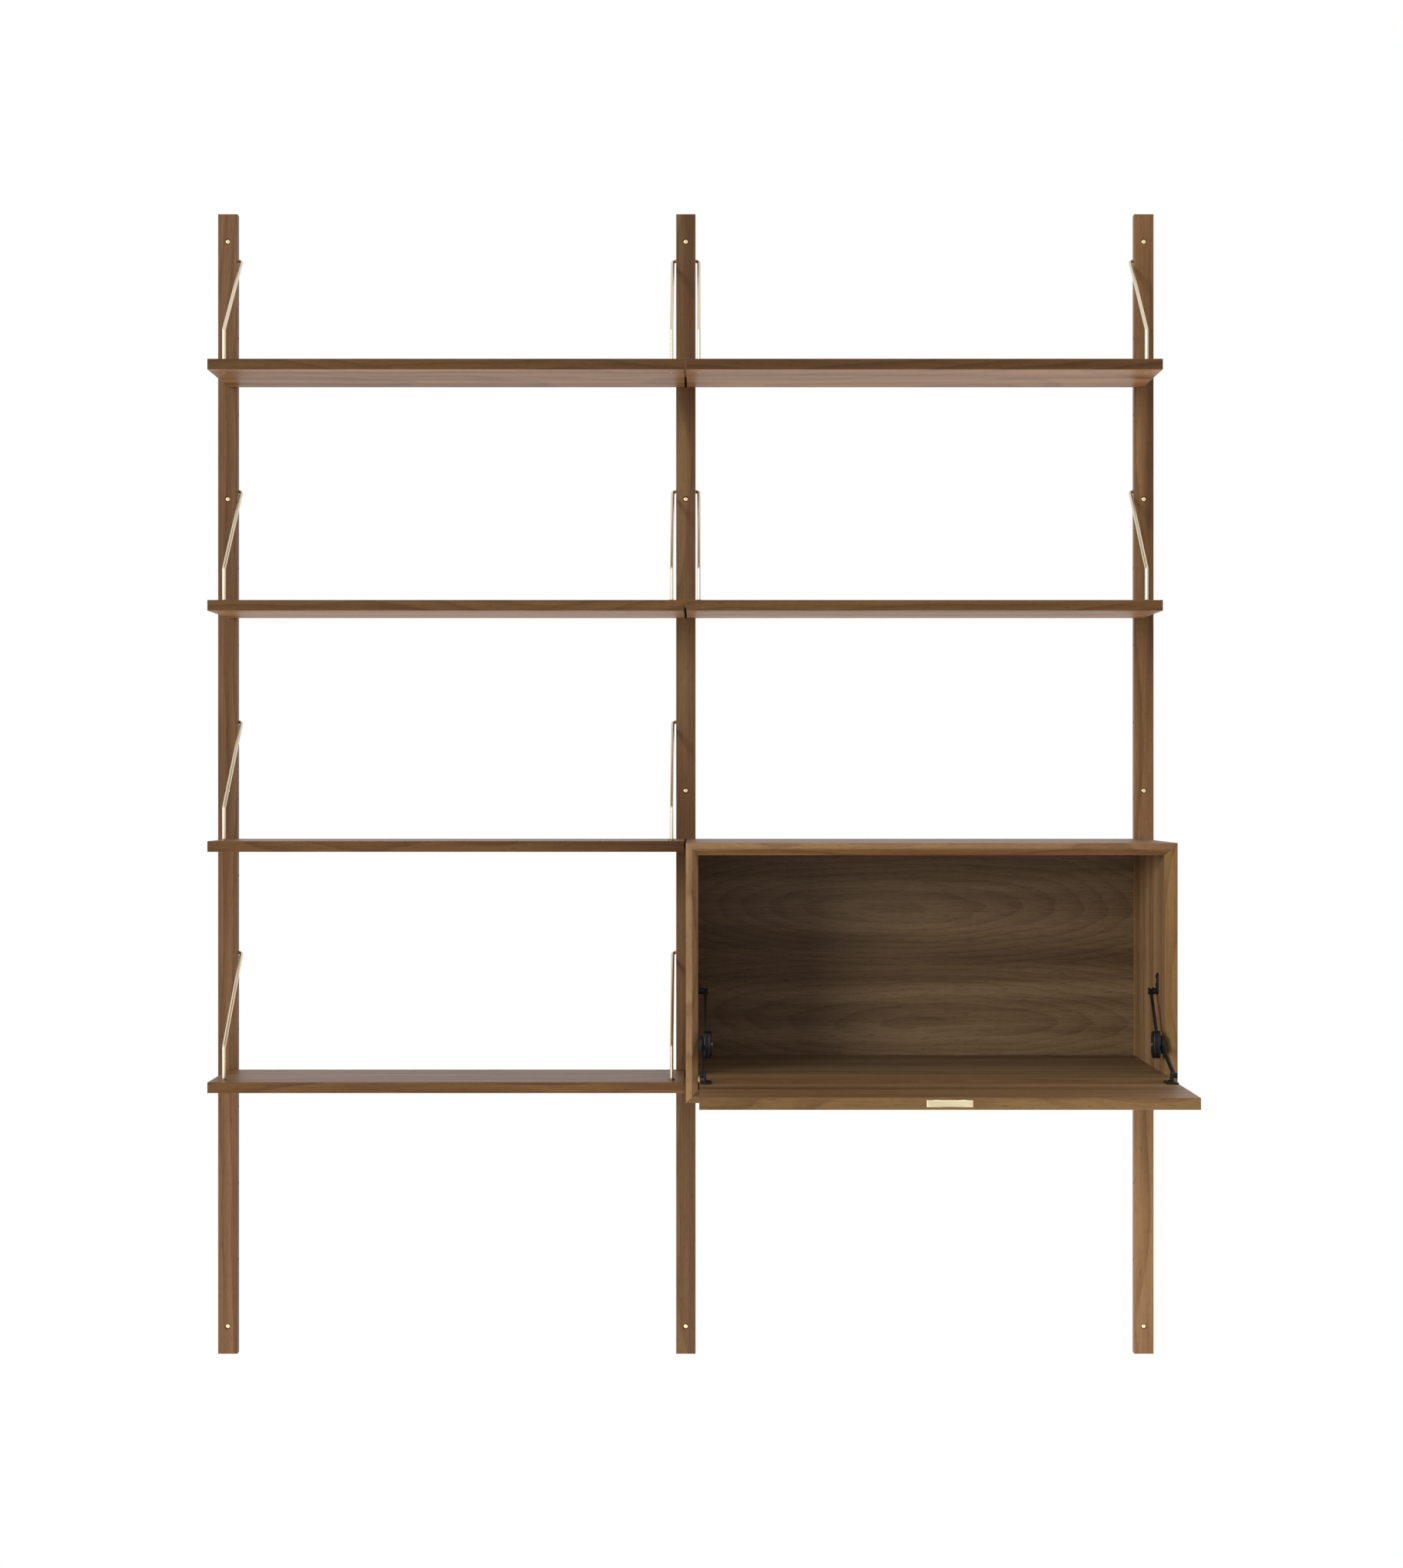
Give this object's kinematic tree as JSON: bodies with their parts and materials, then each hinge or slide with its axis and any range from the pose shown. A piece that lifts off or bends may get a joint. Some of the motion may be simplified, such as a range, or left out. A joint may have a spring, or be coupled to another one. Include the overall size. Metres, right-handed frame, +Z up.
{
  "type": "wall shelf with brackets",
  "caption": "Walnut wall shelving on upright rails: shelves hung on bent brass rods, and a cabinet whose front drops on folding stays to make a desk.",
  "frame": {"origin": "middle rail's centre line at mid height, on the wall plane (its back face)", "axes": "+X right as seen from the room, +Y into the wall, +Z up; the shelves face -Y"},
  "size_m": [1.642, 0.775, 2],
  "materials": {
    "walnut_rail": "oiled walnut, grain up the rail",
    "walnut_shelf": "oiled walnut veneer, grain along the shelf",
    "walnut_cabinet": "oiled walnut veneer, grain round the box",
    "walnut_door": "oiled walnut veneer, grain along the door",
    "beech": "plain beech",
    "brass_rod": "satin pale brass",
    "brass_screw": "satin brass",
    "brass_pull": "satin pale brass",
    "dark_bronze": "dark bronze",
    "black_steel": "satin black powder coat",
    "black_housing": "satin black moulding",
    "bright_steel": "plain steel"
  },
  "bodies": {
    "root": {"rail_left": "walnut_rail", "rail_middle": "walnut_rail", "rail_right": "walnut_rail", "wall_screws_left": "brass_screw", "wall_screws_middle": "brass_screw", "wall_screws_right": "brass_screw", "shelf_left_1": "walnut_shelf", "shelf_left_2": "walnut_shelf", "shelf_left_3": "walnut_shelf", "shelf_left_4": "walnut_shelf", "shelf_right_1": "walnut_shelf", "shelf_right_2": "walnut_shelf", "hanger_left_1_outer": "brass_rod", "hanger_left_1_inner": "brass_rod", "hanger_left_2_outer": "brass_rod", "hanger_left_2_inner": "brass_rod", "hanger_left_3_outer": "brass_rod", "hanger_left_3_inner": "brass_rod", "hanger_left_4_outer": "brass_rod", "hanger_left_4_inner": "brass_rod", "hanger_right_1_inner": "brass_rod", "hanger_right_1_outer": "brass_rod", "hanger_right_2_inner": "brass_rod", "hanger_right_2_outer": "brass_rod", "cabinet_top": "walnut_cabinet", "cabinet_bottom": "walnut_cabinet", "cabinet_side_left": "walnut_cabinet", "cabinet_side_right": "walnut_cabinet", "cabinet_back": "walnut_cabinet", "cabinet_floor": "walnut_cabinet", "rod_ferrules": "dark_bronze", "rod_end_screws": "brass_screw", "shared_shelf_keys": "black_steel", "single_shelf_keys": "black_steel", "cabinet_dowels": "beech", "cabinet_hook_left": "black_steel", "cabinet_hook_right": "black_steel", "cabinet_hook_screws": "brass_screw", "catch_magnet": "bright_steel", "hinge_pins": "bright_steel", "bracket_screws": "black_steel", "stay_bracket_left": "black_steel", "stay_bracket_right": "black_steel"},
    "door": {"door_panel": "walnut_door", "door_pull": "brass_pull", "catch_strike": "bright_steel", "hinge_bushes": "brass_screw", "stay_foot_left": "black_steel", "stay_foot_right": "black_steel", "foot_screws": "black_steel"},
    "stay_upper_left": {"stay_upper_arm_left": "black_steel", "stay_damper_left": "black_housing", "elbow_bolt_left": "bright_steel"},
    "stay_lower_left": {"stay_lower_arm_left": "black_steel"},
    "stay_upper_right": {"stay_upper_arm_right": "black_steel", "stay_damper_right": "black_housing", "elbow_bolt_right": "bright_steel"},
    "stay_lower_right": {"stay_lower_arm_right": "black_steel"}
  },
  "joints": [
    {"name": "door_hinge", "type": "hinge", "parent": "root", "child": "door", "pos_m": [0.402, -0.371, -0.482], "axis": [-1, 0, 0], "range_deg": [0, 90]},
    {"name": "stay_upper_left_pivot", "type": "hinge", "parent": "root", "child": "stay_upper_left", "pos_m": [0.0339, -0.315, -0.342], "axis": [-1, 0, 0], "range_deg": [-68, 0]},
    {"name": "stay_lower_left_pivot", "type": "hinge", "parent": "door", "child": "stay_lower_left", "pos_m": [0.0285, -0.521, -0.461], "axis": [-1, 0, 0], "range_deg": [-22, 0]},
    {"name": "stay_upper_right_pivot", "type": "hinge", "parent": "root", "child": "stay_upper_right", "pos_m": [0.7701, -0.315, -0.342], "axis": [-1, 0, 0], "range_deg": [-68, 0]},
    {"name": "stay_lower_right_pivot", "type": "hinge", "parent": "door", "child": "stay_lower_right", "pos_m": [0.7755, -0.521, -0.461], "axis": [-1, 0, 0], "range_deg": [-22, 0]}
  ],
  "couplings": [
    {"joint": "stay_upper_left_pivot", "follows": "door_hinge", "ratio": -0.74498},
    {"joint": "stay_lower_left_pivot", "follows": "door_hinge", "ratio": -0.2322},
    {"joint": "stay_upper_right_pivot", "follows": "door_hinge", "ratio": -0.74498},
    {"joint": "stay_lower_right_pivot", "follows": "door_hinge", "ratio": -0.2322}
  ]
}
